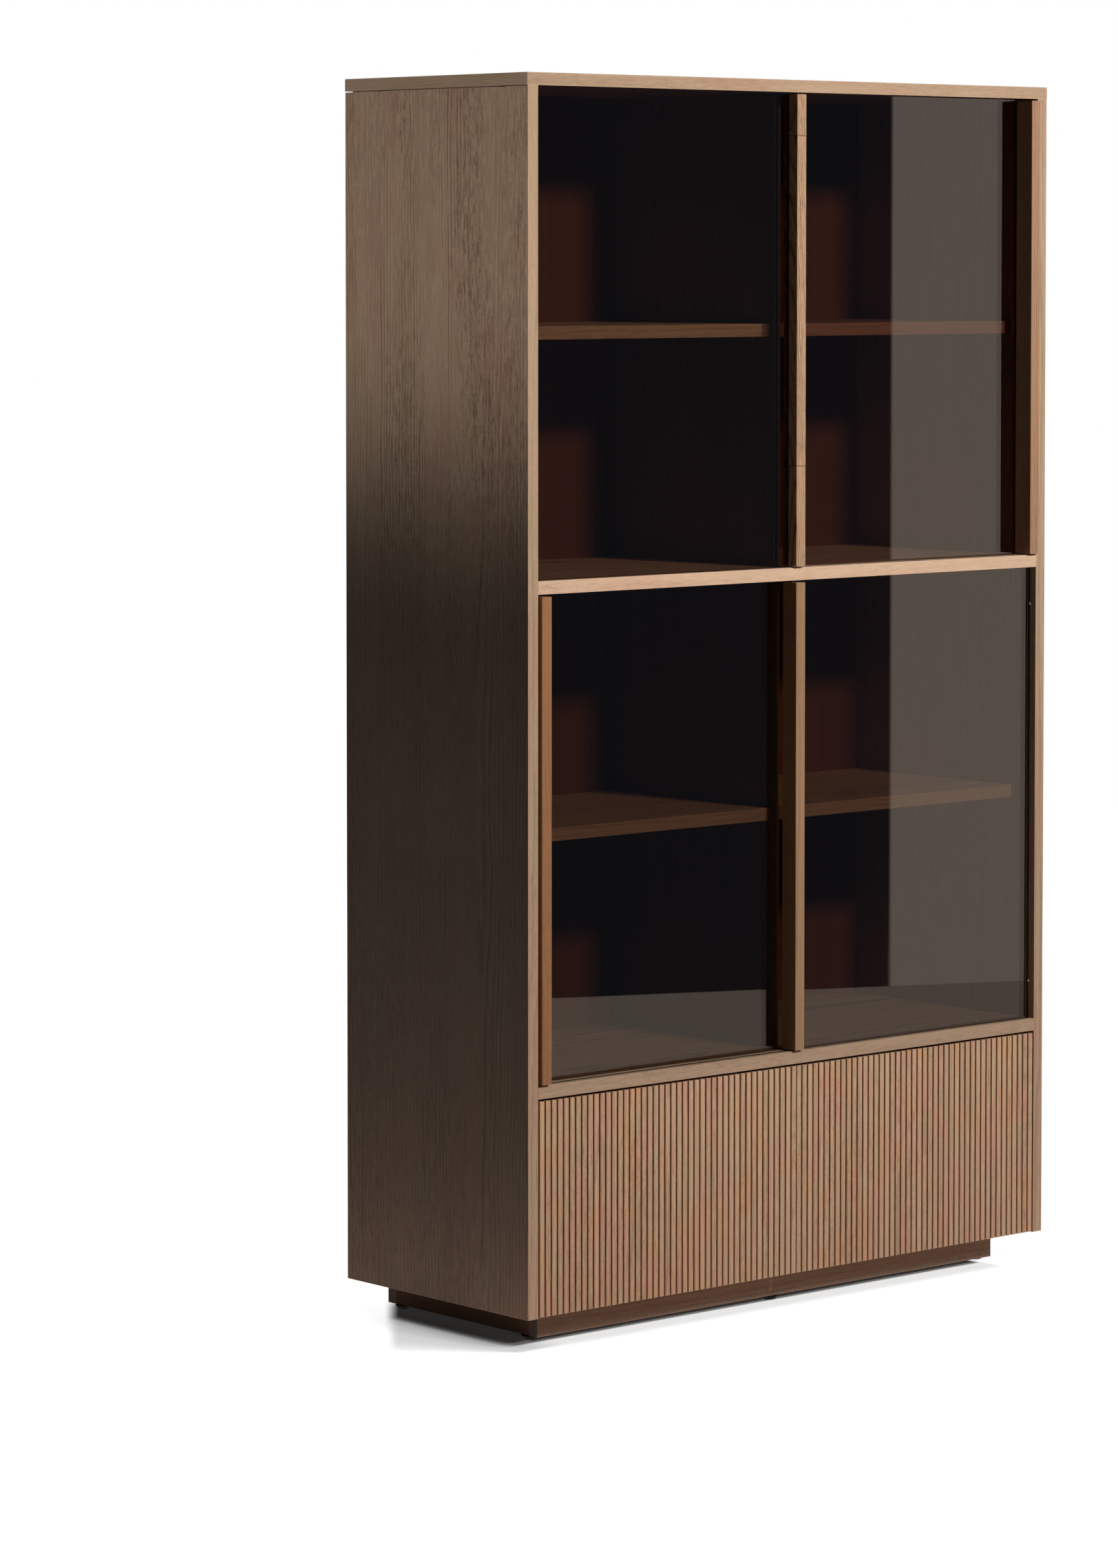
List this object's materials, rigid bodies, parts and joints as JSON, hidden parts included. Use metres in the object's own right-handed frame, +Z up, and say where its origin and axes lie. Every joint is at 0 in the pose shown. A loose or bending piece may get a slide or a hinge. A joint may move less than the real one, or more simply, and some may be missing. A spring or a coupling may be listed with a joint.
{
  "type": "bookcase with sliding doors",
  "caption": "Tall dark-wood bookcase: sliding smoked-glass doors over shelves, full-height wooden pulls, slatted drawers below, and a recessed plinth on levelling feet.",
  "frame": {"origin": "on the floor, midway across the width and the overall depth", "axes": "+X to the right seen from the front, +Y towards the back, +Z up"},
  "size_m": [1.1, 0.437, 1.9],
  "materials": {
    "case_veneer": "brown-stained open-grain ash veneer, matt lacquer",
    "shelf_veneer": "brown-stained ash veneer with lighter lipped front edges",
    "inner_veneer": "brown-stained ash veneer, matt lacquer",
    "back_board": "brown-stained veneered fibreboard",
    "plinth_wood": "dark brown stain, matt",
    "pull_wood": "brown-stained solid ash, satin",
    "slat_wood": "brown-stained ash strips, matt, tone varies from slat to slat",
    "box_wood": "clear-lacquered plywood",
    "smoked_glass": "bronze-smoked float glass, ground edges",
    "track_plastic": "dark brown extruded plastic",
    "glide_plastic": "self-lubricating nylon",
    "bumper_rubber": "clear soft polyurethane",
    "foot_plastic": "black moulded plastic",
    "zinc": "die-cast zinc",
    "bright_steel": "zinc-plated steel",
    "runner_steel": "zinc-plated rolled steel",
    "bracket_steel": "dark brown powder coat"
  },
  "bodies": {
    "case": {"left_side_panel": "case_veneer", "right_side_panel": "case_veneer", "top_panel": "case_veneer", "middle_fixed_shelf": "shelf_veneer", "lower_fixed_shelf": "shelf_veneer", "bottom_panel": "shelf_veneer", "left_back_panel": "back_board", "right_back_panel": "back_board", "upper_divider": "inner_veneer", "lower_divider": "inner_veneer", "drawer_divider": "inner_veneer", "upper_left_shelf": "inner_veneer", "upper_right_shelf": "inner_veneer", "lower_left_shelf": "inner_veneer", "lower_right_shelf": "inner_veneer", "plinth_front_rail": "plinth_wood", "plinth_back_rail": "plinth_wood", "plinth_side_rails": "plinth_wood", "plinth_cross_rail": "plinth_wood", "top_track_channels": "track_plastic", "bottom_track_channels": "track_plastic", "shelf_pins": "bright_steel", "door_bumpers": "bumper_rubber", "cam_locks": "zinc", "cam_bolts": "bright_steel", "wood_dowels": "box_wood", "case_screws": "bright_steel", "wall_brackets": "bracket_steel", "foot_inserts": "bright_steel", "runner_outer_members": "runner_steel"},
    "upper_left_door": {"upper_left_door_glass": "smoked_glass", "upper_left_door_pull": "pull_wood", "upper_left_door_glides": "glide_plastic"},
    "upper_right_door": {"upper_right_door_glass": "smoked_glass", "upper_right_door_pull": "pull_wood", "upper_right_door_glides": "glide_plastic"},
    "lower_left_door": {"lower_left_door_glass": "smoked_glass", "lower_left_door_pull": "pull_wood", "lower_left_door_glides": "glide_plastic"},
    "lower_right_door": {"lower_right_door_glass": "smoked_glass", "lower_right_door_pull": "pull_wood", "lower_right_door_glides": "glide_plastic"},
    "left_drawer": {"left_drawer_front_board": "slat_wood", "left_drawer_slats": "slat_wood", "left_drawer_box_walls": "box_wood", "left_drawer_floor": "box_wood", "left_drawer_runner_inners": "runner_steel"},
    "left_runner_middle": {"left_drawer_runner_middles": "runner_steel"},
    "right_drawer": {"right_drawer_front_board": "slat_wood", "right_drawer_slats": "slat_wood", "right_drawer_box_walls": "box_wood", "right_drawer_floor": "box_wood", "right_drawer_runner_inners": "runner_steel"},
    "right_runner_middle": {"right_drawer_runner_middles": "runner_steel"},
    "front_left_foot": {"front_left_foot": "foot_plastic"},
    "front_centre_foot": {"front_centre_foot": "foot_plastic"},
    "front_right_foot": {"front_right_foot": "foot_plastic"},
    "back_left_foot": {"back_left_foot": "foot_plastic"},
    "back_centre_foot": {"back_centre_foot": "foot_plastic"},
    "back_right_foot": {"back_right_foot": "foot_plastic"}
  },
  "joints": [
    {"name": "upper_left_door_slide", "type": "slide", "parent": "case", "child": "upper_left_door", "axis": [1, 0, 0], "range_m": [0, 0.496]},
    {"name": "upper_right_door_slide", "type": "slide", "parent": "case", "child": "upper_right_door", "axis": [1, 0, 0], "range_m": [-0.496, 0]},
    {"name": "lower_left_door_slide", "type": "slide", "parent": "case", "child": "lower_left_door", "axis": [1, 0, 0], "range_m": [0, 0.496]},
    {"name": "lower_right_door_slide", "type": "slide", "parent": "case", "child": "lower_right_door", "axis": [1, 0, 0], "range_m": [-0.496, 0]},
    {"name": "left_drawer_slide", "type": "slide", "parent": "case", "child": "left_drawer", "axis": [0, -1, 0], "range_m": [0, 0.3]},
    {"name": "left_runner_middle_slide", "type": "slide", "parent": "case", "child": "left_runner_middle", "axis": [0, -1, 0], "range_m": [0, 0.15]},
    {"name": "right_drawer_slide", "type": "slide", "parent": "case", "child": "right_drawer", "axis": [0, -1, 0], "range_m": [0, 0.3]},
    {"name": "right_runner_middle_slide", "type": "slide", "parent": "case", "child": "right_runner_middle", "axis": [0, -1, 0], "range_m": [0, 0.15]},
    {"name": "front_left_foot_turn", "type": "hinge", "parent": "case", "child": "front_left_foot", "pos_m": [-0.4765, -0.1305, 0.01], "axis": [0, 0, 1], "continuous": true},
    {"name": "front_centre_foot_turn", "type": "hinge", "parent": "case", "child": "front_centre_foot", "pos_m": [0, -0.149, 0.01], "axis": [0, 0, 1], "continuous": true},
    {"name": "front_right_foot_turn", "type": "hinge", "parent": "case", "child": "front_right_foot", "pos_m": [0.4765, -0.1305, 0.01], "axis": [0, 0, 1], "continuous": true},
    {"name": "back_left_foot_turn", "type": "hinge", "parent": "case", "child": "back_left_foot", "pos_m": [-0.4765, 0.1685, 0.01], "axis": [0, 0, 1], "continuous": true},
    {"name": "back_centre_foot_turn", "type": "hinge", "parent": "case", "child": "back_centre_foot", "pos_m": [0, 0.187, 0.01], "axis": [0, 0, 1], "continuous": true},
    {"name": "back_right_foot_turn", "type": "hinge", "parent": "case", "child": "back_right_foot", "pos_m": [0.4765, 0.1685, 0.01], "axis": [0, 0, 1], "continuous": true}
  ],
  "couplings": [
    {"joint": "left_runner_middle_slide", "follows": "left_drawer_slide", "ratio": 0.5},
    {"joint": "right_runner_middle_slide", "follows": "right_drawer_slide", "ratio": 0.5}
  ]
}
